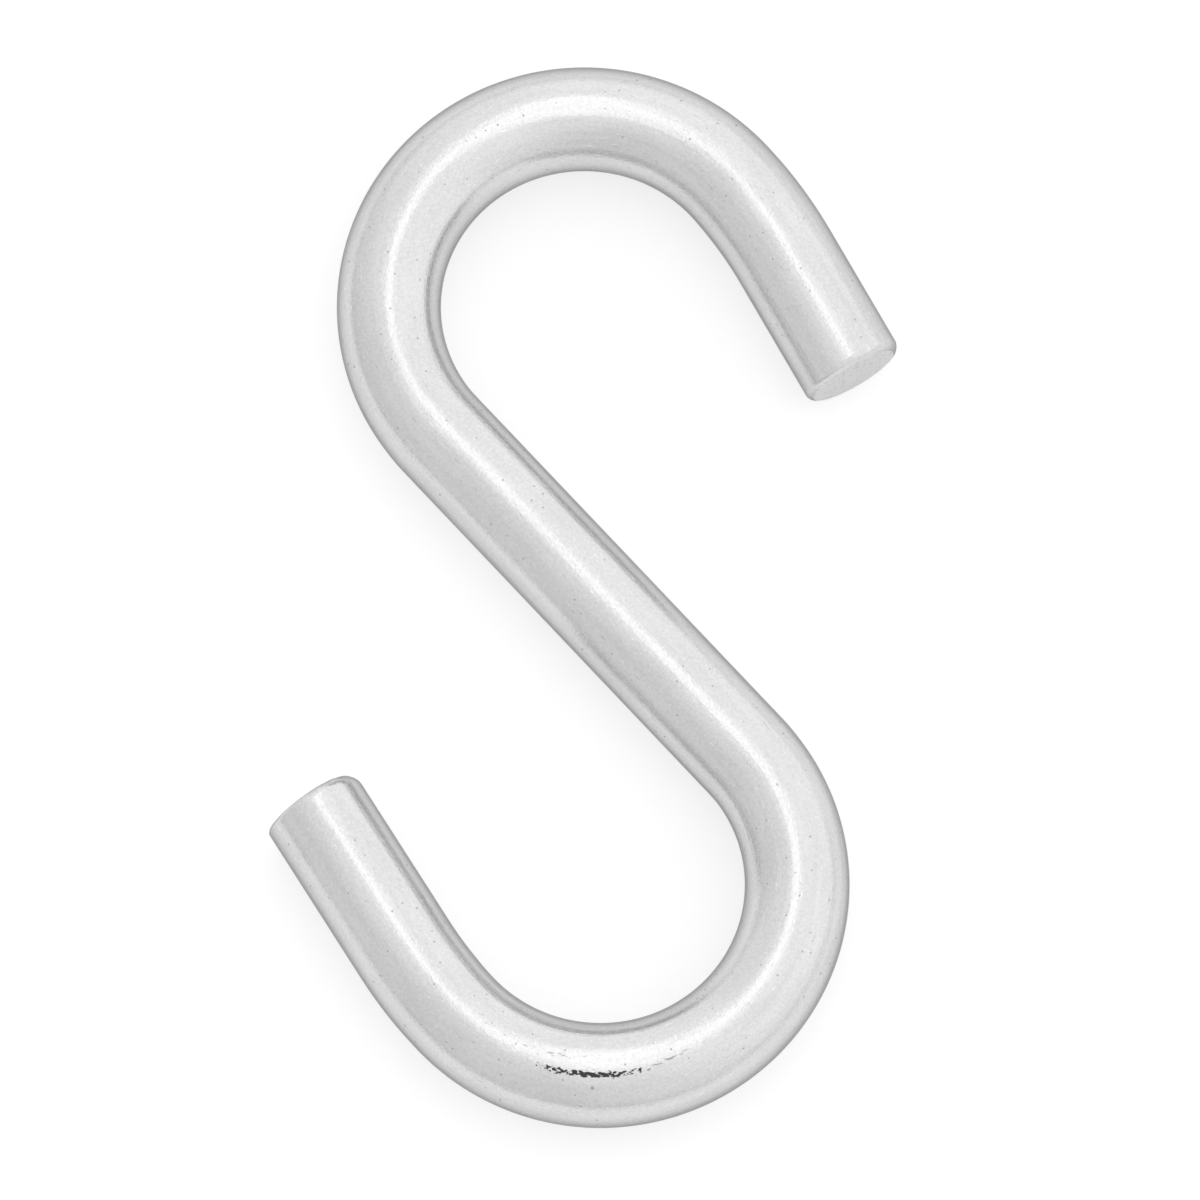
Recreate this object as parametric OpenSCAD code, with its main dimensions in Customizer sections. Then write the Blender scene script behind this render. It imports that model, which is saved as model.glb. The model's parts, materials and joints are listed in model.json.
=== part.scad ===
// S hook: one length of round steel wire, cold bent into two open bights.
// The hook lies on its side on the plane Z = 0, with its length along Y.
// Each half is built outward from the straight shank in the middle:
// the bend round the former, the run where the bend springs back and
// eases off, and the short straight leg with its cut end.
// The bent runs are a hair thinner than the straight ones, which close over them.

/* [Wire] */
// Diameter of the round wire (mm)
wire_d = 4.88; // [4.4:0.02:5.4]

// How much thinner the wire is round a bend, as a difference in diameter (mm)
bend_thin = 0.04; // [0.02:0.01:0.2]

/* [Shank] */
// Length of the straight part between the two bends (mm)
shank_l = 20.9; // [17:0.1:26]

/* [Bends] */
// Radius of both bends, to the middle of the wire (mm)
bend_r = 9.08; // [7.5:0.02:11]
// Angle turned by the upper bend (degrees)
upper_bend_a = 181.2; // [170:0.2:190]
// Angle turned by the lower bend (degrees)
lower_bend_a = 180; // [170:0.2:190]
// Radius of the run where a bend eases off into its leg (mm)
ease_r = 20.8; // [14:0.1:30]
// Angle turned by the easing run above (degrees)
upper_ease_a = 12; // [4:0.2:18]
// Angle turned by the easing run below (degrees)
lower_ease_a = 10.6; // [4:0.2:18]

/* [Legs] */
// Length of the upper straight leg to its cut end (mm)
upper_leg_l = 6.6; // [4:0.1:10]
// Length of the lower straight leg to its cut end (mm)
lower_leg_l = 8.4; // [4:0.1:10]
// Radius of the rolled edge of the upper cut end (mm)
upper_edge_r = 0.42; // [0.1:0.02:1]
// Radius of the rolled edge of the lower cut end (mm)
lower_edge_r = 0.5; // [0.1:0.02:1]

/* [Hidden] */
// Facets round a full circle
round_fn = 96;
// Radius of the straight wire, and of the wire round a bend and easing off
wire_r = wire_d / 2;
bend_wire_r = wire_r - bend_thin / 2;
ease_wire_r = wire_r - bend_thin / 4;
// Length by which the thicker run closes over the thinner one
lap = 0.1;
// The same lap as an angle of the easing run
ease_lap_a = lap / ease_r * 180 / PI;
// Half of the shank, from the middle of the hook to a bend
half_l = shank_l / 2;
// Angle from the upper half's heading back to the lower half's
back_a = 180;

// A point turned by an angle about the origin
function turned(p, a) = [p[0] * cos(a) - p[1] * sin(a), p[0] * sin(a) + p[1] * cos(a)];
// Where a clockwise arc ends, starting at the origin along +X
function arc_end(r, a) = [r * sin(a), r * cos(a) - r];
// The middle of a half's bend, for a half that starts along +X
function bend_mid() = [half_l, -bend_r];
// The middle of the cut end, for a half that starts along +X
function tip_mid(b, e, l) =
    [half_l, 0] + arc_end(bend_r, b) + turned(arc_end(ease_r, e), -b) + turned([l, 0], -b - e);

// Furthest reach of a rolled cut end along X past its middle, for a leg with heading a
function tip_reach(a, edge_r) = abs(sin(a)) * (wire_r - edge_r) + (1 - abs(cos(a))) * edge_r;

// Heading of the upper half that puts both bend middles on one line along Y
up_a = 90 + atan2(bend_r, half_l);
// Heading of the lower half, opposite to the upper one
down_a = up_a - back_a;
// Middles of the two bends
upper_mid = turned(bend_mid(), up_a);
lower_mid = turned(bend_mid(), down_a);
// Middles of the two cut ends, and the headings of their legs
upper_tip = turned(tip_mid(upper_bend_a, upper_ease_a, upper_leg_l), up_a);
lower_tip = turned(tip_mid(lower_bend_a, lower_ease_a, lower_leg_l), down_a);
upper_leg_a = up_a - upper_bend_a - upper_ease_a;
lower_leg_a = down_a - lower_bend_a - lower_ease_a;
// Sides of the whole hook along X: a cut end or the outside of a bend
bend_reach = bend_r + bend_wire_r;
right_x = max(upper_tip[0] + tip_reach(upper_leg_a, upper_edge_r), lower_mid[0] + bend_reach);
left_x = min(lower_tip[0] - tip_reach(lower_leg_a, lower_edge_r), upper_mid[0] - bend_reach);
// Middle of the hook's box, moved to X = 0 and Y = 0
mid_x = (right_x + left_x) / 2;
mid_y = (upper_mid[1] + lower_mid[1]) / 2;

// A curved run of the wire, clockwise from the origin along +X,
// begun by a lap before the origin
module arc_run(r, a, section_r, lap_a) {
    translate([0, -r, 0])
        rotate([0, 0, 90 - a])
            rotate_extrude(angle = a + lap_a, $fn = round_fn)
                translate([r, 0])
                    circle(r = section_r, $fn = round_fn);
}

// Moves what follows to the end of a clockwise arc
module after_arc(r, a) {
    translate([r * sin(a), r * cos(a) - r, 0])
        rotate([0, 0, -a])
            children();
}

// The straight shank, through the middle of the hook along X
module shank() {
    rotate([90, 0, 90])
        linear_extrude(height = shank_l + 2 * lap, center = true)
            circle(r = wire_r, $fn = round_fn);
}

// A straight leg along +X: a flat cut end inside a rolled edge
module leg(l, edge_r) {
    translate([-lap, 0, 0])
        rotate([90, 0, 90])
            rotate_extrude($fn = round_fn)
                leg_section(l + lap, edge_r);
}

// Half of the leg's section, from its middle line outward
module leg_section(l, edge_r) {
    union() {
        square([wire_r, l - edge_r]);
        square([wire_r - edge_r, l]);
        translate([wire_r - edge_r, l - edge_r])
            intersection() {
                circle(r = edge_r, $fn = round_fn);
                square([edge_r, edge_r]);
            }
    }
}

// One half of the hook without its shank, outward from the middle
module half(bend_a, ease_a, leg_l, edge_r) {
    translate([half_l, 0, 0]) {
        arc_run(bend_r, bend_a, bend_wire_r, 0);
        after_arc(bend_r, bend_a) {
            arc_run(ease_r, ease_a, ease_wire_r, ease_lap_a);
            after_arc(ease_r, ease_a)
                leg(leg_l, edge_r);
        }
    }
}

// The whole bent wire
module s_hook() {
    color([0.78, 0.79, 0.8])
        translate([-mid_x, -mid_y, wire_r])
            union() {
                rotate([0, 0, up_a])
                    shank();
                rotate([0, 0, up_a])
                    half(upper_bend_a, upper_ease_a, upper_leg_l, upper_edge_r);
                rotate([0, 0, down_a])
                    half(lower_bend_a, lower_ease_a, lower_leg_l, lower_edge_r);
            }
}

s_hook();
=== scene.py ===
# %% [markdown]
# # A zinc-plated S hook
#
# The real hook is one length of round steel wire, cut with a shear, bent cold round
# a former at each end and plated with bright zinc. This lesson sweeps the wire
# along its own middle line with Geometry Nodes. It keeps a record of where each
# point lay on the straight wire, and uses that record to lay the draw lines, pits
# and dark streaks along the bends.
#
# The imported CAD model comes first. It fixes the sizes, and everything here is read
# from it or built to meet it.

# %% Load the frame
import json
import math

import bpy
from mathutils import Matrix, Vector


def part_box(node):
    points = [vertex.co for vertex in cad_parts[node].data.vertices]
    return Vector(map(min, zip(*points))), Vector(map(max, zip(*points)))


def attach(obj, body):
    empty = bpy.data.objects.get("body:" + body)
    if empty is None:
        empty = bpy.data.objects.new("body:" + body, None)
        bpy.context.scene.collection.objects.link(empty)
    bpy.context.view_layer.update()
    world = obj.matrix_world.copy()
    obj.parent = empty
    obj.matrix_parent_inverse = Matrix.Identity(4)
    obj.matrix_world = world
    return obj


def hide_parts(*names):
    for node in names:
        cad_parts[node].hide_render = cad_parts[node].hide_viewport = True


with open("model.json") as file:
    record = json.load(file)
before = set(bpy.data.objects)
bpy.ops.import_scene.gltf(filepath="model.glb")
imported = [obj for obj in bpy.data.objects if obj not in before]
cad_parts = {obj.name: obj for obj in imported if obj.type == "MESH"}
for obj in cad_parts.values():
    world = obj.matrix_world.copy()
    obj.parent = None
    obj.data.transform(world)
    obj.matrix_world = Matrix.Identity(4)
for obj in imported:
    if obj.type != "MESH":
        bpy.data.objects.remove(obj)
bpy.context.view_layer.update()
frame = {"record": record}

MM = 0.001


# %% [markdown]
# ## Driving sizes
#
# The hook lies on its side, so the height of its box is the wire's diameter. The
# record states the middle and the inside radius of each bend. With those, the
# straight shank follows by Pythagoras: it runs from one bend to the other and
# touches both. The same sizes could be typed in again, but a size that is read
# can't drift away from the CAD model.

# %% Sizes from the frame
low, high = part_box("s_hook")
mounts = {mount["name"]: mount for mount in frame["record"]["mounts"]}
upper_middle = Vector(mounts["upper_bight"]["pos_m"])
lower_middle = Vector(mounts["lower_bight"]["pos_m"])
WIRE_R = (high.z - low.z) / 2
BEND_WIRE_R = mounts["upper_bight"]["dims"]["length_mm"] * MM / 2
BEND_R = mounts["upper_bight"]["dims"]["r_mm"] * MM + BEND_WIRE_R
shank_middle = (upper_middle + lower_middle) / 2
shank_middle.z = low.z + WIRE_R
half_span = (upper_middle - lower_middle).length / 2
HALF_SHANK = math.sqrt(half_span ** 2 - BEND_R ** 2)
print(f"wire {2 * WIRE_R / MM:.2f} mm, bend radius {BEND_R / MM:.2f} mm")
print(f"shank {2 * HALF_SHANK / MM:.1f} mm")

# %% [markdown]
# ## The bender's choices
#
# The frame doesn't say how far each bend turns or how long each leg is. Those are
# the bender's own choice, and they differ a little from one end to the other, as
# they do on a hook bent over a former. They are written here as the CAD model has
# them. A bend springs back where it meets its leg, and the wide ease radius stands
# for that.

# %% Angles and lengths of the two halves
EASE_R = 20.8 * MM
UPPER = {"bend": math.radians(181.2), "ease": math.radians(12.0), "leg": 6.6 * MM}
LOWER = {"bend": math.radians(180.0), "ease": math.radians(10.6), "leg": 8.4 * MM}


def reach(half):
    """The length of wire from the middle of the shank to one cut end."""
    return HALF_SHANK + half["bend"] * BEND_R + half["ease"] * EASE_R + half["leg"]


UPPER_REACH = reach(UPPER)
print(f"the shank's middle is {UPPER_REACH / MM:.1f} mm from the upper cut end")
print(f"the cut length of wire is {(UPPER_REACH + reach(LOWER)) / MM:.1f} mm")

# %% [markdown]
# ## The middle line
#
# A wire bent over a former is a chain of straights and arcs, each starting where
# and how the last one stopped. So the line is walked, not drawn: a small function
# takes the place and heading so far, and steps along a straight or round an arc.
# Each half is walked outward from the middle of the shank. A drawn Bezier curve
# would need its handles tuned, and would never be quite round. The last stretch of
# each half takes finer steps, because the rolled rim has to be carved from them.

# %% Walk the middle line
STEP = 0.25 * MM
END_STEP = 0.02 * MM
END_ZONE = 1.2 * MM


def walk(heading, half):
    """Points of half the wire, with the heading turned clockwise on the way out."""
    place = shank_middle.copy()
    points = [place.copy()]
    runs = [
        (HALF_SHANK, 0.0),
        (half["bend"] * BEND_R, BEND_R),
        (half["ease"] * EASE_R, EASE_R),
        (half["leg"] - END_ZONE, 0.0),
    ]
    for length, radius in runs:
        count = max(2, round(length / STEP))
        step = length / count
        turn = step / radius if radius else 0.0
        chord = 2 * radius * math.sin(turn / 2) if radius else step
        for _ in range(count):
            heading -= turn / 2
            place = place + chord * Vector((math.cos(heading), math.sin(heading), 0.0))
            heading -= turn / 2
            points.append(place.copy())
    for _ in range(round(END_ZONE / END_STEP)):
        place = place + END_STEP * Vector((math.cos(heading), math.sin(heading), 0.0))
        points.append(place.copy())
    return points


upper_heading = math.pi / 2 + math.atan2(BEND_R, HALF_SHANK)
upper_points = walk(upper_heading, UPPER)
lower_points = walk(upper_heading - math.pi, LOWER)
line = upper_points[::-1] + lower_points[1:]
print(f"{len(line)} points on the middle line")

# %% [markdown]
# ## A curve object
#
# Geometry Nodes sweep a section along a curve, so the points become a poly spline,
# which passes through every one of them. It runs from the upper cut end to the
# lower one.

# %% Make the curve
curve = bpy.data.curves.new("s hook middle line", "CURVE")
curve.dimensions = "3D"
spline = curve.splines.new("POLY")
spline.points.add(len(line) - 1)
for point, place in zip(spline.points, line):
    point.co = (*place, 1.0)
wire = bpy.data.objects.new("s hook wire", curve)
bpy.context.scene.collection.objects.link(wire)
print("curve:", curve.name, "with", len(spline.points), "points")

# %% [markdown]
# ## Helpers for node trees
#
# A node tree written as code is long if each node takes four lines. These helpers
# make a node, set its plain values and link its inputs in one call. An input may
# be a number, a vector or the output of another node.

# %% Node helpers
def add(tree, kind, inputs=(), **settings):
    """A node of this kind, with its settings made and its inputs set or linked."""
    node = tree.nodes.new(kind)
    for name, value in settings.items():
        setattr(node, name, value)
    for key, value in dict(inputs).items():
        socket = node.inputs[key]
        if isinstance(value, bpy.types.NodeSocket):
            tree.links.new(value, socket)
        else:
            socket.default_value = value
    return node


def sums(tree, operation, *values):
    """The output of a Math node."""
    return add(tree, "ShaderNodeMath", enumerate(values), operation=operation).outputs[0]


def vectors(tree, operation, *values):
    """The output of a Vector Math node: a number for a dot product, else a vector."""
    node = add(tree, "ShaderNodeVectorMath", enumerate(values), operation=operation)
    return node.outputs["Value" if operation == "DOT_PRODUCT" else "Vector"]


def scaled(tree, vector, factor):
    """A vector times a number."""
    inputs = {0: vector, "Scale": factor}
    return add(tree, "ShaderNodeVectorMath", inputs, operation="SCALE").outputs["Vector"]


def remap(tree, value, old, new, kind="SMOOTHSTEP"):
    """value moved from one range to another, and held at its ends."""
    inputs = {"Value": value, "From Min": old[0], "From Max": old[1]}
    inputs.update({"To Min": new[0], "To Max": new[1]})
    return add(tree, "ShaderNodeMapRange", inputs, interpolation_type=kind).outputs["Result"]


print("helpers:", ", ".join(helper.__name__ for helper in (add, sums, vectors, scaled, remap)))

# %% [markdown]
# ## The wire, swept by Geometry Nodes
#
# The section is a circle all the way, so the main body is one Curve to Mesh node.
# Four things are done on top of it. The wire is a hair thinner round the bends, as
# it is in the CAD model. The rim of each end is rolled over, further on one side
# than on the other, so the rings there are drawn in along a quarter circle. The
# lower end is cut at a slight slant. And every point stores where it lay on the
# straight wire, as wire_place: metres along it from the shank's middle toward the
# lower end, across it toward the outside of the upper bend, and up.
#
# Moving the vertices one by one in Python would do as well. The tree is used
# because its sizes stay visible as named inputs.

# %% Sizes for the tree
WIRE_SIZES = {
    "Wire radius": WIRE_R,
    "Bend wire radius": BEND_WIRE_R,
    "Half shank": HALF_SHANK,
    "Upper reach": UPPER_REACH,
    "Upper edge": 0.42 * MM,
    "Upper edge lean": 0.06 * MM,
    "Lower edge": 0.50 * MM,
    "Lower edge lean": 0.30 * MM,
    "Rim wear": 0.35,
    "Lower cut slant": math.tan(math.radians(3.6)),
}
AROUND = 128
# The shorter of the two bends serves for both.
BENT_TO = LOWER["bend"] * BEND_R
ONTO_BEND = 1.0 * MM
OFF_BEND = 2.0 * MM
SLANT_ZONE = 2.5 * MM
RIM_WAVES = 1400.0
CUT_FACING = 0.95
UP = (0.0, 0.0, 1.0)
print(f"{AROUND} points round each ring, and a slant over the last {SLANT_ZONE / MM} mm")

# %% [markdown]
# ### The rolled rims
#
# A shear drags the steel over before it parts, so an end has a soft rim and not a
# sharp one. A Bevel modifier would roll it evenly. Drawing the rings in by sums
# lets the roll be wider on one side, and a little noise makes it uneven. Noise
# gives the same value at the same place every time, so it needs no seed.

# %% Draw the rings in at the rims
def drawn_in(tree, distance, edge, radius):
    """How far a ring is drawn in toward the middle, as a share of the radius."""
    short = sums(tree, "MAXIMUM", sums(tree, "SUBTRACT", edge, distance), 0.0)
    edge_squared = sums(tree, "MULTIPLY", edge, edge)
    short_squared = sums(tree, "MULTIPLY", short, short)
    left = sums(tree, "MAXIMUM", sums(tree, "SUBTRACT", edge_squared, short_squared), 0.0)
    chord = sums(tree, "SQRT", left)
    return sums(tree, "DIVIDE", sums(tree, "SUBTRACT", edge, chord), radius)


def rolled_rims(tree, given, place, side, from_start, to_end):
    """How far both rims draw a ring in, as a share of the radius."""
    rough = add(tree, "ShaderNodeTexNoise", {"Vector": place, "Scale": RIM_WAVES, "Detail": 2.0})
    centred = sums(tree, "SUBTRACT", rough.outputs["Fac"], 0.5)
    uneven = sums(tree, "ADD", sums(tree, "MULTIPLY", centred, given["Rim wear"]), 1.0)
    share = sums(tree, "DIVIDE", side, given["Wire radius"])
    drawn = []
    for name, distance in (("Upper edge", from_start), ("Lower edge", to_end)):
        lean = sums(tree, "MULTIPLY", share, given[name + " lean"])
        edge = sums(tree, "MULTIPLY", sums(tree, "ADD", given[name], lean), uneven)
        drawn.append(drawn_in(tree, distance, edge, given["Wire radius"]))
    return sums(tree, "ADD", *drawn)


upper_edge, lower_edge = WIRE_SIZES["Upper edge"], WIRE_SIZES["Lower edge"]
print(f"the rims roll over by {upper_edge / MM:.2f} and {lower_edge / MM:.2f} mm")

# %% [markdown]
# ### The bends and the slanted cut
#
# The CAD model makes the bends a few hundredths of a millimetre thinner. Here the
# change is spread over a millimetre or two, so that no step shows in the highlight.
# The lower end is a few degrees out of square, so its last rings slide back on the
# outside of the bend, most of all at the very end. Cutting the mesh with a plane
# would do this too, but would leave the rim sharp.

# %% Thin the bends and slant the cut
def thinned_bends(tree, given, from_start):
    """How much thinner the wire is round the bends, as a share of the radius."""
    from_middle = sums(tree, "ABSOLUTE", sums(tree, "SUBTRACT", from_start, given["Upper reach"]))
    into_bend = sums(tree, "SUBTRACT", from_middle, given["Half shank"])
    ratio = sums(tree, "DIVIDE", given["Bend wire radius"], given["Wire radius"])
    onto = remap(tree, into_bend, (0.0, ONTO_BEND), (0.0, 1.0))
    off_again = remap(tree, into_bend, (BENT_TO, BENT_TO + OFF_BEND), (1.0, 0.0))
    bent = sums(tree, "MULTIPLY", onto, off_again)
    return sums(tree, "MULTIPLY", sums(tree, "SUBTRACT", 1.0, ratio), bent)


def slant_slide(tree, given, heading, side, to_end):
    """How far a point near the lower end slides back along the wire, as a vector."""
    nearness = remap(tree, to_end, (0.0, SLANT_ZONE), (1.0, 0.0), "LINEAR")
    inward = sums(tree, "SUBTRACT", side, given["Wire radius"])
    back = sums(tree, "MULTIPLY", inward, given["Lower cut slant"])
    return scaled(tree, heading, sums(tree, "MULTIPLY", back, nearness))


print(f"bends are thinner by {2 * (WIRE_R - BEND_WIRE_R) / MM:.2f} mm in diameter")

# %% [markdown]
# ### What the line knows
#
# A ring of the swept mesh no longer knows its place on the line. So a Capture
# Attribute node keeps the length, middle and heading of each point before the
# sweep, and the rings carry them. The other two helpers store a value by name, and
# end the tree.

# %% Keep what the line knows
def keep_line(tree, geometry, place):
    """A node that stores each point's length so far, middle, heading and whole length."""
    keep = add(tree, "GeometryNodeCaptureAttribute", {"Geometry": geometry})
    length = add(tree, "GeometryNodeSplineParameter").outputs["Length"]
    tangent = add(tree, "GeometryNodeInputTangent").outputs["Tangent"]
    whole = add(tree, "GeometryNodeSplineLength").outputs["Length"]
    for kind, name, source in (
        ("FLOAT", "Along", length),
        ("VECTOR", "Middle", place),
        ("VECTOR", "Heading", tangent),
        ("FLOAT", "Whole", whole),
    ):
        keep.capture_items.new(kind, name)
        tree.links.new(source, keep.inputs[name])
    return keep.outputs


def store(tree, geometry, name, value, data_type, domain):
    """The geometry with a value stored on its points or faces."""
    inputs = {"Geometry": geometry, "Name": name, "Value": value}
    settings = {"data_type": data_type, "domain": domain}
    node = add(tree, "GeometryNodeStoreNamedAttribute", inputs, **settings)
    return node.outputs["Geometry"]


def finished(tree, geometry, material):
    """The geometry smoothed, made real and given its material."""
    for kind, inputs in (
        ("GeometryNodeSetShadeSmooth", {"Shade Smooth": True}),
        ("GeometryNodeRealizeInstances", {}),
        ("GeometryNodeSetMaterial", {"Material": material}),
    ):
        geometry = add(tree, kind, {"Geometry": geometry, **inputs}).outputs["Geometry"]
    return geometry


print("kept for each point: length so far, middle, heading and whole length")


# %% [markdown]
# ### The tree itself
#
# Each ring is drawn in toward its own middle, and the slide of the lower end is
# added to that, so one Set Position node does both. wire_place is stored after the
# move, so its across and up are where a point has come to lie.

# %% Build the tree
def wire_tree(material):
    """A tree that turns the middle line into the bent wire."""
    tree = bpy.data.node_groups.new("bent wire", "GeometryNodeTree")
    face = tree.interface
    face.new_socket("Geometry", in_out="INPUT", socket_type="NodeSocketGeometry")
    for name, value in WIRE_SIZES.items():
        socket = face.new_socket(name, in_out="INPUT", socket_type="NodeSocketFloat")
        socket.default_value = value
    face.new_socket("Geometry", in_out="OUTPUT", socket_type="NodeSocketGeometry")
    given = tree.nodes.new("NodeGroupInput").outputs
    result = tree.nodes.new("NodeGroupOutput")

    # Sweep a circle along the line.
    place = add(tree, "GeometryNodeInputPosition").outputs["Position"]
    kept = keep_line(tree, given["Geometry"], place)
    section = {"Resolution": AROUND, "Radius": given["Wire radius"]}
    circle = add(tree, "GeometryNodeCurvePrimitiveCircle", section).outputs["Curve"]
    sweep = {"Curve": kept["Geometry"], "Profile Curve": circle, "Fill Caps": True}
    swept = add(tree, "GeometryNodeCurveToMesh", sweep).outputs["Mesh"]

    # Where a point lies on its ring, and how far it is from the lower end.
    offset = vectors(tree, "SUBTRACT", place, kept["Middle"])
    across = vectors(tree, "CROSS_PRODUCT", kept["Heading"], UP)
    side = vectors(tree, "DOT_PRODUCT", offset, across)
    height = vectors(tree, "DOT_PRODUCT", offset, UP)
    to_end = sums(tree, "SUBTRACT", kept["Whole"], kept["Along"])

    # The rings drawn in, and the lower end slid to its slant.
    rims = rolled_rims(tree, given, place, side, kept["Along"], to_end)
    drawn = sums(tree, "ADD", rims, thinned_bends(tree, given, kept["Along"]))
    drawn_offset = scaled(tree, offset, sums(tree, "SUBTRACT", 1.0, drawn))
    round_wire = vectors(tree, "ADD", kept["Middle"], drawn_offset)
    slide = slant_slide(tree, given, kept["Heading"], side, to_end)
    new_place = {"Geometry": swept, "Position": vectors(tree, "ADD", round_wire, slide)}
    moved = add(tree, "GeometryNodeSetPosition", new_place).outputs["Geometry"]

    # The straight wire's own coordinates, and a mark on the two cut faces.
    centred = sums(tree, "SUBTRACT", kept["Along"], given["Upper reach"])
    straight = add(tree, "ShaderNodeCombineXYZ", {"X": centred, "Y": side, "Z": height})
    stored = store(tree, moved, "wire_place", straight.outputs["Vector"], "FLOAT_VECTOR", "POINT")
    normal = add(tree, "GeometryNodeInputNormal").outputs["Normal"]
    facing = sums(tree, "ABSOLUTE", vectors(tree, "DOT_PRODUCT", normal, kept["Heading"]))
    is_cut = sums(tree, "GREATER_THAN", facing, CUT_FACING)
    marked = store(tree, stored, "cut_face", is_cut, "FLOAT", "FACE")
    tree.links.new(finished(tree, marked, material), result.inputs["Geometry"])
    return tree


print("the tree takes", len(WIRE_SIZES), "named sizes")

# %% [markdown]
# ## The finish
#
# Bright zinc is a thin, cool, nearly white metal. It is not a mirror: the plate is
# a little cloudy, the drawn wire's fine lines still show through it, and it has
# small dark pits. The cut ends are duller and grainy. Each of these is a short
# function that adds to one material.
#
# Patterns that follow the wire read wire_place, so that they run round the bends:
# the clouds, the lines, the flecks, the pits and the dark streaks do. The grain has no
# direction, so it reads Object coordinates. An image texture would need unwrapping,
# and could show a seam along the wire.

# %% Scales of the patterns
# Waves per metre: along the wire, across it, and up.
FINE_LINES = (25.0, 5200.0, 5200.0)
BROAD_LINES = (45.0, 1500.0, 1500.0)
CLOUDS = (260.0, 1500.0, 1500.0)
RAGGED_SPECKS = (5200.0, 8500.0, 8500.0)
LONG_FLECKS = (2000.0, 11000.0, 11000.0)
GRAIN_WAVES = 6500.0
GRAIN_ROUGHNESS = 0.7
GRAIN_SHARE = 0.6
# Where the noise of the long flecks is high or low enough to leave one.
DARK_FLECKS = (0.665, 0.72)
BRIGHT_FLECKS = (0.27, 0.33)


def wire_noise(tree, place, scale, detail):
    """Noise on the straight wire, stretched by a scale for each axis."""
    stretched = vectors(tree, "MULTIPLY", place, scale)
    inputs = {"Vector": stretched, "Scale": 1.0, "Detail": detail}
    return add(tree, "ShaderNodeTexNoise", inputs).outputs["Fac"]


print(f"fine draw lines are about {1000 / FINE_LINES[1]:.2f} mm apart")

# %% [markdown]
# ### Pits and dark streaks
#
# A pit is a small dark round hole in the plate. Voronoi cells scatter them, and
# only a share of the cells holds one, so they don't fall in rows. A dark streak is a
# long, rough, nearly black patch painted on the top of the wire. Noise breaks it into
# specks, which thin out from the middle of the patch to its edge.

# %% Pits and patches
# Pits: radius, spacing, the share of cells that hold one, and a shift of the cells.
SMALL_PITS = (0.060 * MM, 0.55 * MM, 0.60, 0.0)
LARGE_PITS = (0.11 * MM, 1.7 * MM, 0.25, 3.7)
PIT_RIM = 0.5
THIN_OUT = 0.22
SPECK_EDGE = 0.06


def pits(tree, place, radius, spacing, share, shift):
    """1 inside scattered round pits, 0 outside. Only a share of the cells holds one."""
    moved = vectors(tree, "ADD", place, (shift, shift, shift))
    cell_inputs = {"Vector": moved, "Scale": 1.0 / spacing, "Randomness": 1.0}
    settings = {"feature": "F1", "voronoi_dimensions": "3D"}
    cells = add(tree, "ShaderNodeTexVoronoi", cell_inputs, **settings).outputs
    lot = add(tree, "ShaderNodeSeparateColor", {"Color": cells["Color"]}).outputs["Red"]
    chosen = sums(tree, "LESS_THAN", lot, share)
    rim = (PIT_RIM * radius / spacing, radius / spacing)
    inside = remap(tree, cells["Distance"], rim, (1.0, 0.0))
    return sums(tree, "MULTIPLY", inside, chosen)


def patch(tree, place, middle, half_size, ragged, cover):
    """Specks in a long patch on the top of the wire, closer together in its middle."""
    axes = add(tree, "ShaderNodeSeparateXYZ", {"Vector": place})
    distances = []
    for name, centre, half in zip(("X", "Y"), middle, half_size):
        gap = sums(tree, "SUBTRACT", axes.outputs[name], centre)
        distances.append(sums(tree, "POWER", sums(tree, "DIVIDE", gap, half), 2.0))
    thinning = sums(tree, "MULTIPLY", sums(tree, "ADD", *distances), THIN_OUT)
    specks = sums(tree, "SUBTRACT", ragged, thinning)
    on_top = sums(tree, "GREATER_THAN", axes.outputs["Z"], 0.0)
    broken = remap(tree, specks, (cover, cover + SPECK_EDGE), (0.0, 1.0))
    return sums(tree, "MULTIPLY", broken, on_top)


print(f"pits of {SMALL_PITS[0] / MM:.2f} and {LARGE_PITS[0] / MM:.2f} mm radius")

# %% [markdown]
# ### Where the dark streaks are
#
# The dark streak lies on top of the lower bend, near its lowest point, with fainter
# dashes beyond it and a faint trail before it. Each place is a length of wire from
# the shank's middle, then a distance across. The lowest point is half the shank
# away, and then an arc: the wire gets there when it has turned through as great an
# angle as the upper heading.

# %% Places of the dark streaks
bend_bottom = HALF_SHANK + upper_heading * BEND_R
STREAK = ((bend_bottom + 0.65 * MM, -0.52 * MM), (2.6 * MM, 0.17 * MM))
DASHES = ((bend_bottom + 2.5 * MM, 0.19 * MM), (2.4 * MM, 0.18 * MM))
TRAIL = ((bend_bottom - 3.3 * MM, -0.35 * MM), (1.8 * MM, 0.20 * MM))
STREAK_COVER = 0.35
DASHES_COVER = 0.48
TRAIL_COVER = 0.50
FAINT = 0.5
print(f"the lowest point is {bend_bottom / MM:.1f} mm of wire from the shank's middle")

# %% [markdown]
# ### The patterns together
#
# Every pattern is made once and kept by name, because the colour, the gloss and the
# relief share them. A pit that is dark has to be hollow in the same place.

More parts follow.
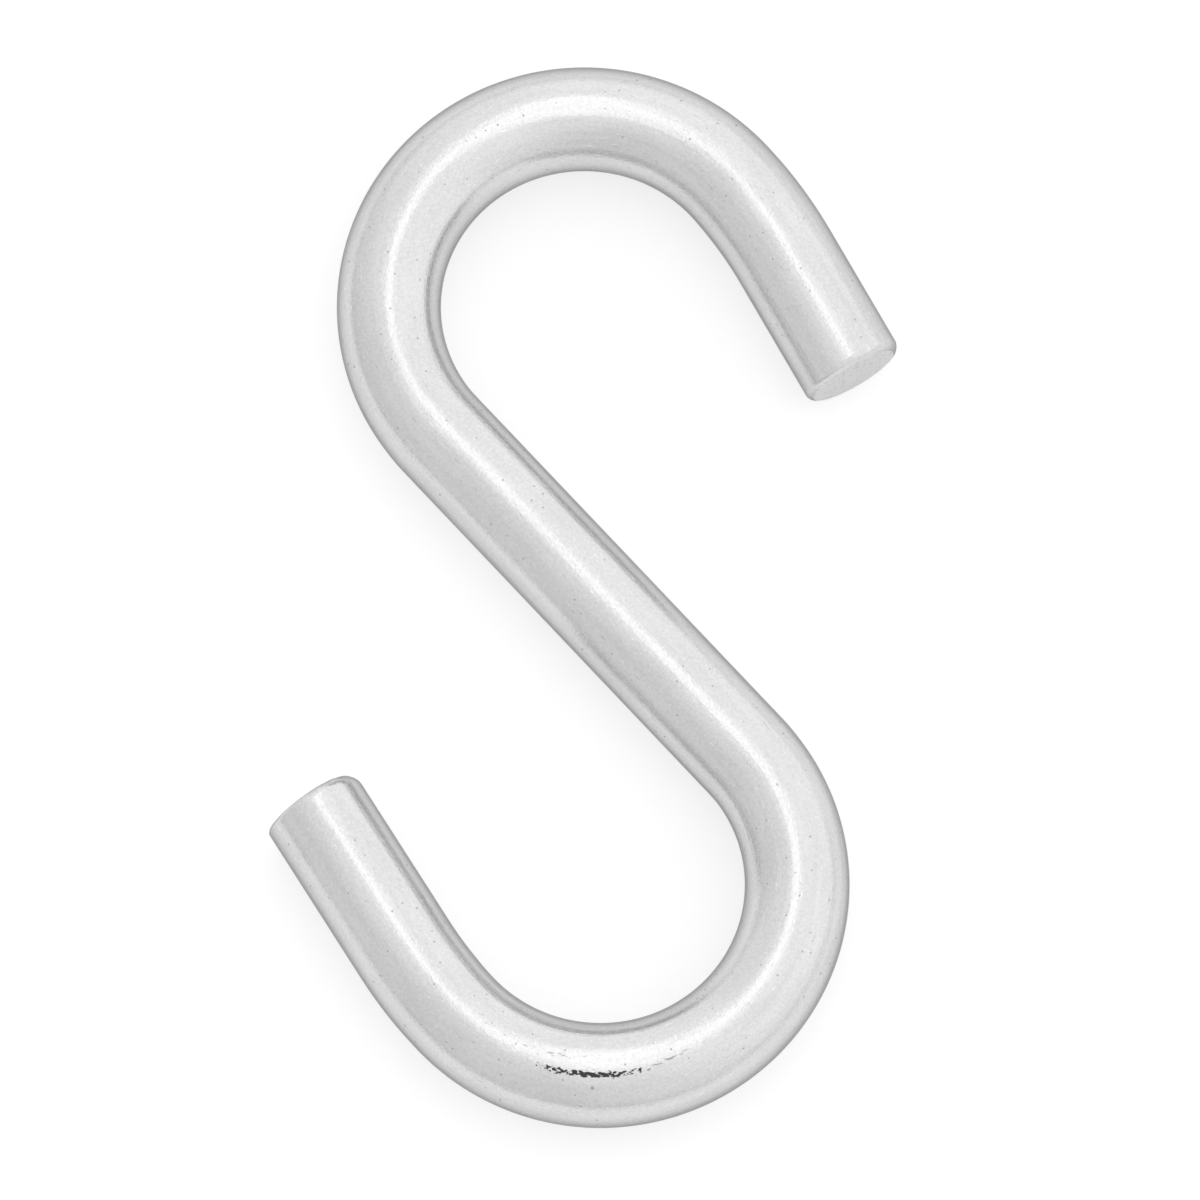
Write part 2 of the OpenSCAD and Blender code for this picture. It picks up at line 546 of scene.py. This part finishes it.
# %% Make every pattern
def finish_patterns(tree):
    """The outputs that say where each feature of the finish lies, by name."""
    place = add(tree, "ShaderNodeAttribute", attribute_name="wire_place").outputs["Vector"]
    cut = add(tree, "ShaderNodeAttribute", attribute_name="cut_face").outputs["Fac"]
    object_place = add(tree, "ShaderNodeTexCoord").outputs["Object"]
    cloud = wire_noise(tree, place, CLOUDS, detail=6.0)
    grain = add(tree, "ShaderNodeTexNoise", {
        "Vector": object_place,
        "Scale": GRAIN_WAVES,
        "Detail": 3.0,
        "Roughness": GRAIN_ROUGHNESS,
    }).outputs["Fac"]
    soft = sums(tree, "MULTIPLY", cloud, 1.0 - GRAIN_SHARE)
    sharp = sums(tree, "MULTIPLY", grain, GRAIN_SHARE)
    ragged = wire_noise(tree, place, RAGGED_SPECKS, detail=3.0)
    drawn_out = wire_noise(tree, place, LONG_FLECKS, detail=3.0)
    dashes = patch(tree, place, *DASHES, drawn_out, DASHES_COVER)
    trail = patch(tree, place, *TRAIL, drawn_out, TRAIL_COVER)
    faint = sums(tree, "MULTIPLY", sums(tree, "MAXIMUM", dashes, trail), FAINT)
    streak = patch(tree, place, *STREAK, ragged, STREAK_COVER)
    small = pits(tree, place, *SMALL_PITS)
    large = pits(tree, place, *LARGE_PITS)
    return {
        "cut": cut,
        "cloud": cloud,
        "grain": grain,
        "mottle": sums(tree, "ADD", soft, sharp),
        "fine": wire_noise(tree, place, FINE_LINES, detail=3.0),
        "broad": wire_noise(tree, place, BROAD_LINES, detail=2.0),
        "pitted": sums(tree, "MAXIMUM", small, large),
        "dark flecks": remap(tree, drawn_out, DARK_FLECKS, (0.0, 1.0)),
        "bright flecks": remap(tree, drawn_out, BRIGHT_FLECKS, (1.0, 0.0)),
        "streaked": sums(tree, "MAXIMUM", streak, faint),
    }


print("patterns: clouds, grain, draw lines, pits, flecks and dark streaks")

# %% [markdown]
# ### Colour
#
# The plate wavers between two close greys. Each mark is then mixed over it in turn.
# The dark streaks come last, so that they cover whatever they cross.

# %% Shades, from the plate to its marks
PLATE_DARK = (0.615, 0.615, 0.619, 1.0)
PLATE_PALE = (0.69, 0.69, 0.694, 1.0)
LINE_SHADE = (0.50, 0.505, 0.515, 1.0)
DARK_FLECK = (0.30, 0.30, 0.31, 1.0)
BRIGHT_FLECK = (0.88, 0.88, 0.885, 1.0)
PIT_SHADE = (0.22, 0.22, 0.23, 1.0)
CUT_SHADE = (0.80, 0.80, 0.805, 1.0)
CUT_GRAIN = (0.45, 0.45, 0.455, 1.0)
STREAK_SHADE = (0.03, 0.03, 0.032, 1.0)
# How strongly each mark is mixed in.
LINE_STRENGTH = 0.16
DARK_FLECK_STRENGTH = 0.35
BRIGHT_FLECK_STRENGTH = 0.6
PIT_STRENGTH = 0.6
STREAK_STRENGTH = 0.95
CUT_GRAIN_STRENGTH = 0.55
# The part of each pattern's range over which its mark comes in.
MOTTLE_RANGE = (0.38, 0.62)
LINE_RANGE = (0.52, 0.70)
CUT_GRAIN_RANGE = (0.50, 0.68)


def plate_colour(tree, seen):
    """The colour of the plate with every mark mixed over it."""
    waver = remap(tree, seen["mottle"], MOTTLE_RANGE, (0.0, 1.0))
    lines = remap(tree, seen["broad"], LINE_RANGE, (0.0, 1.0))
    cut_grain = remap(tree, seen["grain"], CUT_GRAIN_RANGE, (0.0, CUT_GRAIN_STRENGTH))
    tint = add(tree, "ShaderNodeMix", {"Factor": waver}, data_type="RGBA")
    tint.inputs["A"].default_value = PLATE_DARK
    tint.inputs["B"].default_value = PLATE_PALE
    colour = tint.outputs["Result"]
    for mask, strength, shade in (
        (lines, LINE_STRENGTH, LINE_SHADE),
        (seen["dark flecks"], DARK_FLECK_STRENGTH, DARK_FLECK),
        (seen["bright flecks"], BRIGHT_FLECK_STRENGTH, BRIGHT_FLECK),
        (seen["pitted"], PIT_STRENGTH, PIT_SHADE),
        (seen["cut"], 1.0, CUT_SHADE),
        (seen["cut"], cut_grain, CUT_GRAIN),
        (seen["streaked"], STREAK_STRENGTH, STREAK_SHADE),
    ):
        factor = sums(tree, "MULTIPLY", mask, strength)
        inputs = {"Factor": factor, "A": colour, "B": shade}
        colour = add(tree, "ShaderNodeMix", inputs, data_type="RGBA").outputs["Result"]
    return colour


print("plate between", PLATE_DARK[0], "and", PLATE_PALE[0], "before its marks")

# %% [markdown]
# ### Gloss and relief
#
# The clouds and lines dull the plate only a little. The cut faces and dark streaks are
# much rougher. One Bump node takes all the relief, because these features are far
# too fine to be worth a mesh, and it is deep enough to break up the highlight.

# %% Roughness and bump
CLOUD_RANGE = (0.3, 0.7)
GLOSS = (0.10, 0.16)
LINE_DULLING = 0.05
CUT_ROUGHNESS = 0.5
STREAK_ROUGHNESS = 0.6
FINE_RELIEF = 0.8
BROAD_RELIEF = 0.9
GRAIN_RELIEF = 1.2
PIT_RELIEF = 1.2
TORN_RELIEF = 5.0
BUMP_STRENGTH = 0.5
BUMP_DEPTH = 0.02 * MM


def plate_roughness(tree, seen):
    """Low on the plate, higher on its cut faces and dark streaks."""
    cloudy = remap(tree, seen["cloud"], CLOUD_RANGE, GLOSS)
    gloss = sums(tree, "ADD", cloudy, sums(tree, "MULTIPLY", seen["fine"], LINE_DULLING))
    cut = sums(tree, "MULTIPLY", seen["cut"], CUT_ROUGHNESS)
    streaked = sums(tree, "MULTIPLY", seen["streaked"], STREAK_ROUGHNESS)
    return sums(tree, "MAXIMUM", gloss, sums(tree, "MAXIMUM", cut, streaked))


def plate_relief(tree, seen):
    """The normal, from the lines, the grain, the pits and the torn cut faces."""
    fine = sums(tree, "MULTIPLY", seen["fine"], FINE_RELIEF)
    lines = sums(tree, "ADD", fine, sums(tree, "MULTIPLY", seen["broad"], BROAD_RELIEF))
    grainy = sums(tree, "ADD", lines, sums(tree, "MULTIPLY", seen["grain"], GRAIN_RELIEF))
    relief = sums(tree, "SUBTRACT", grainy, sums(tree, "MULTIPLY", seen["pitted"], PIT_RELIEF))
    on_cut = sums(tree, "MULTIPLY", seen["grain"], seen["cut"])
    height = sums(tree, "ADD", relief, sums(tree, "MULTIPLY", on_cut, TORN_RELIEF))
    inputs = {"Height": height, "Strength": BUMP_STRENGTH, "Distance": BUMP_DEPTH}
    return add(tree, "ShaderNodeBump", inputs).outputs["Normal"]


print(f"roughness {GLOSS[0]} to {GLOSS[1]} on the plate, bump {BUMP_DEPTH / MM:.2f} mm deep")

# %% [markdown]
# ### One material
#
# Zinc is a metal, so Metallic is 1 and the base colour is the colour of its
# reflections. The edge tint is lower than white, which darkens the plate a little
# where it is seen at a grazing angle.

# %% The zinc plate
EDGE_TINT = (0.42, 0.42, 0.43, 1.0)


def zinc_plate():
    """Bright zinc over drawn wire, with pits, dark streaks and dull cut ends."""
    material = bpy.data.materials.new("bright zinc plate")
    material.use_nodes = True
    tree = material.node_tree
    shader = tree.nodes["Principled BSDF"]
    seen = finish_patterns(tree)
    tree.links.new(plate_colour(tree, seen), shader.inputs["Base Color"])
    tree.links.new(plate_roughness(tree, seen), shader.inputs["Roughness"])
    tree.links.new(plate_relief(tree, seen), shader.inputs["Normal"])
    shader.inputs["Metallic"].default_value = 1.0
    shader.inputs["Specular Tint"].default_value = EDGE_TINT
    return material


zinc = zinc_plate()
print("material:", zinc.name, "with", len(zinc.node_tree.nodes), "nodes")

# %% [markdown]
# ## The hook as a plain mesh
#
# The tree's inputs are set by their identifiers, and the result is read back as a
# plain mesh.

# %% Sweep the wire and keep it as a plain mesh
modifier = wire.modifiers.new("bent wire", "NODES")
modifier.node_group = wire_tree(zinc)
print("tree:", modifier.node_group.name, "with", len(modifier.node_group.nodes), "nodes")
for item in modifier.node_group.interface.items_tree:
    if item.in_out == "INPUT" and item.name in WIRE_SIZES:
        modifier[item.identifier] = WIRE_SIZES[item.name]
depsgraph = bpy.context.evaluated_depsgraph_get()
mesh = bpy.data.meshes.new_from_object(
    wire.evaluated_get(depsgraph), preserve_all_data_layers=True, depsgraph=depsgraph)
wire.modifiers.remove(modifier)
bpy.data.objects.remove(wire)
mesh.name = "s hook"
hook = bpy.data.objects.new("s_hook_wire", mesh)
bpy.context.scene.collection.objects.link(hook)
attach(hook, "root")
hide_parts("s_hook")
stored_names = [a.name for a in mesh.attributes if a.name in ("wire_place", "cut_face")]
print(f"hook: {len(mesh.polygons)} faces, with {stored_names}")

# %% [markdown]
# ## The floor
#
# A bright plate shows its surroundings, so what stands round the hook is most of
# its look. The hook lies on one sheet of pale paper. The paper also glows, so that
# it reads white and the shadow on it stays light. A brighter lamp would whiten it
# too, but would burn out the highlight.

# %% Floor
FLOOR_HALF = 1.5
PAPER_GREY = (0.42, 0.42, 0.42, 1.0)
PAPER_ROUGHNESS = 0.9
PAPER_GLOW = 0.61
floor_mesh = bpy.data.meshes.new("floor")
floor_corners = [
    (x * FLOOR_HALF, y * FLOOR_HALF, low.z) for x, y in ((-1, -1), (1, -1), (1, 1), (-1, 1))]
floor_mesh.from_pydata(floor_corners, [], [(0, 1, 2, 3)])
floor = bpy.data.objects.new("floor", floor_mesh)
bpy.context.scene.collection.objects.link(floor)
paper = bpy.data.materials.new("white paper")
paper.use_nodes = True
matt = paper.node_tree.nodes["Principled BSDF"]
matt.inputs["Base Color"].default_value = PAPER_GREY
matt.inputs["Roughness"].default_value = PAPER_ROUGHNESS
matt.inputs["Emission Color"].default_value = (1.0, 1.0, 1.0, 1.0)
matt.inputs["Emission Strength"].default_value = PAPER_GLOW
floor_mesh.materials.append(paper)
print(f"floor {2 * FLOOR_HALF:.0f} m square, glowing at {PAPER_GLOW}")

# %% [markdown]
# ## The room
#
# The room is pale all round and a little brighter on one side, as a studio with a
# window is. A narrow band just above the floor is darker, like a skirting board. It
# mirrors in the sides of the wire and gives them their thin dark line. An even
# white world would leave the wire flat.

# %% Room light
LIT_SIDE = Vector((0.75, 0.55, 0.35)).normalized()
LIT_RANGE = (-0.7, 0.9)
ROOM_LIGHT = (0.87, 1.23)
SKIRTING_TOP = 0.09
SKIRTING_LIGHT = 0.50
world = bpy.data.worlds.new("pale room")
bpy.context.scene.world = world
world.use_nodes = True
room = world.node_tree
background = room.nodes["Background"]
toward = add(room, "ShaderNodeTexCoord").outputs["Generated"]
room_light = remap(room, vectors(room, "DOT_PRODUCT", toward, LIT_SIDE), LIT_RANGE, ROOM_LIGHT)
upward = add(room, "ShaderNodeSeparateXYZ", {"Vector": toward}).outputs["Z"]
skirting = remap(room, upward, (0.0, SKIRTING_TOP), (SKIRTING_LIGHT, 1.0))
room.links.new(sums(room, "MULTIPLY", room_light, skirting), background.inputs["Strength"])
background.inputs["Color"].default_value = (1.0, 1.0, 1.0, 1.0)
print(f"room light {ROOM_LIGHT[0]} to {ROOM_LIGHT[1]}, {SKIRTING_LIGHT} of that at the floor")


# %% [markdown]
# ## The softbox
#
# One long, weak softbox hangs high over the hook, a little beyond its upper end, with
# its long side along the hook. It gives the white line down the crown of the wire.
# Its light adds to the room behind it, so it needs little power, and the camera
# doesn't see it.

# %% Softbox
def softbox(name, place, target, size, power):
    """A rectangular area light at place, turned to face target."""
    light = bpy.data.lights.new(name, "AREA")
    light.shape = "RECTANGLE"
    light.size, light.size_y = size
    light.energy = power
    lamp = bpy.data.objects.new(name, light)
    lamp.location = place
    lamp.rotation_euler = (target - place).to_track_quat("-Z", "Y").to_euler()
    lamp.visible_camera = False
    bpy.context.scene.collection.objects.link(lamp)
    return lamp


SOFTBOX_PLACE = Vector((0.0, 0.18, 0.58))
SOFTBOX_SIZE = (0.12, 0.50)
SOFTBOX_POWER = 0.092
HOOK_MIDDLE = Vector((0.0, 0.0, 0.0))
softbox("long softbox", SOFTBOX_PLACE, HOOK_MIDDLE, SOFTBOX_SIZE, SOFTBOX_POWER)
print(f"softbox {SOFTBOX_PLACE.length:.2f} m away, {SOFTBOX_POWER} W")

# %% [markdown]
# ## Camera
#
# The hook is seen from almost straight above, a little from its lower end, by a
# long lens from a metre away. The lens follows from the width of the frame at that
# distance. The Standard view leaves the greys as they are rendered.

# %% Camera
FRAME_WIDTH = 55.56 * MM
DISTANCE = 1.0
SENSOR_WIDTH = 36.0
AIM_SHIFT = Vector((0.35, -0.27, 0.0)) * MM
azimuth, elevation = math.radians(-1.55), math.radians(75.0)
aim = shank_middle + AIM_SHIFT
away = Vector((
    math.sin(azimuth) * math.cos(elevation),
    -math.cos(azimuth) * math.cos(elevation),
    math.sin(elevation),
))
camera_data = bpy.data.cameras.new("camera")
camera_data.sensor_width = SENSOR_WIDTH
camera_data.lens = SENSOR_WIDTH * DISTANCE / FRAME_WIDTH
camera_data.clip_start = 0.01
camera = bpy.data.objects.new("camera", camera_data)
camera.location = aim + away * DISTANCE
camera.rotation_euler = (-away).to_track_quat("-Z", "Y").to_euler()
bpy.context.scene.collection.objects.link(camera)
bpy.context.scene.camera = camera
bpy.context.scene.view_settings.view_transform = "Standard"
print(f"lens {camera_data.lens:.0f} mm")
